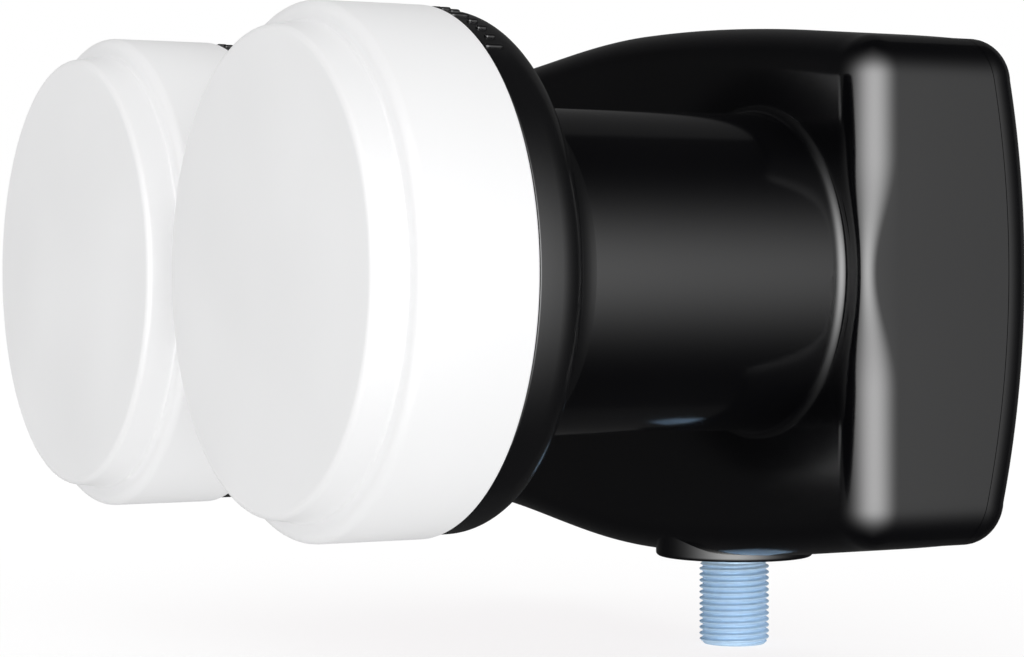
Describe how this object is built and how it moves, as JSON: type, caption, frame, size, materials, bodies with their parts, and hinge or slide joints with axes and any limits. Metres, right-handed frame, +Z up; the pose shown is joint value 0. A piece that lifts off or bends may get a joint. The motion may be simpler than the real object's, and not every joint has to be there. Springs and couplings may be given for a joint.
{
  "type": "satellite lnb",
  "caption": "Monoblock satellite LNB: capped round feed horns side by side on straight clamping necks, one sealed arched housing behind them and a threaded F connector underneath.",
  "frame": {"origin": "middle of the exposed right-hand neck, on that horn's axis, where the dish arm's clamp holds it", "axes": "-Y is the way the horns look, +X runs from the left-hand horn to the right-hand one, +Z is up, away from the connector"},
  "size_m": [0.1285, 0.0945, 0.0828],
  "materials": {
    "cap_plastic": "satin white moulding",
    "collar_plastic": "satin black moulding",
    "housing_plastic": "smooth black moulding",
    "seal_rubber": "soft black rubber",
    "cast_metal": "die cast",
    "board_laminate": "green solder mask",
    "probe_metal": "gold plated",
    "chip_plastic": "moulded epoxy",
    "puck_ceramic": "fired ceramic",
    "screw_steel": "zinc plated",
    "tuning_brass": "turned",
    "connector_plating": "bright nickel plated",
    "insulator_plastic": "natural white",
    "connector_seal_plastic": "pale beige ring"
  },
  "bodies": {
    "root": {"cap_right": "cap_plastic", "cap_left": "cap_plastic", "cap_seal_right": "seal_rubber", "cap_seal_left": "seal_rubber", "collar_right": "collar_plastic", "collar_left": "collar_plastic", "horn_right": "cast_metal", "horn_left": "cast_metal", "front_housing": "housing_plastic", "rear_cover": "housing_plastic", "cover_seal": "seal_rubber", "waveguide_casting": "cast_metal", "circuit_board": "board_laminate", "probes": "probe_metal", "transistors": "chip_plastic", "control_chips": "chip_plastic", "resonators": "puck_ceramic", "regulator": "chip_plastic", "shield_lid": "cast_metal", "lid_screws": "screw_steel", "tuning_screws": "tuning_brass", "connector_shell": "connector_plating", "connector_insulator": "insulator_plastic", "connector_contact": "probe_metal", "connector_seal": "connector_seal_plastic"}
  },
  "joints": []
}
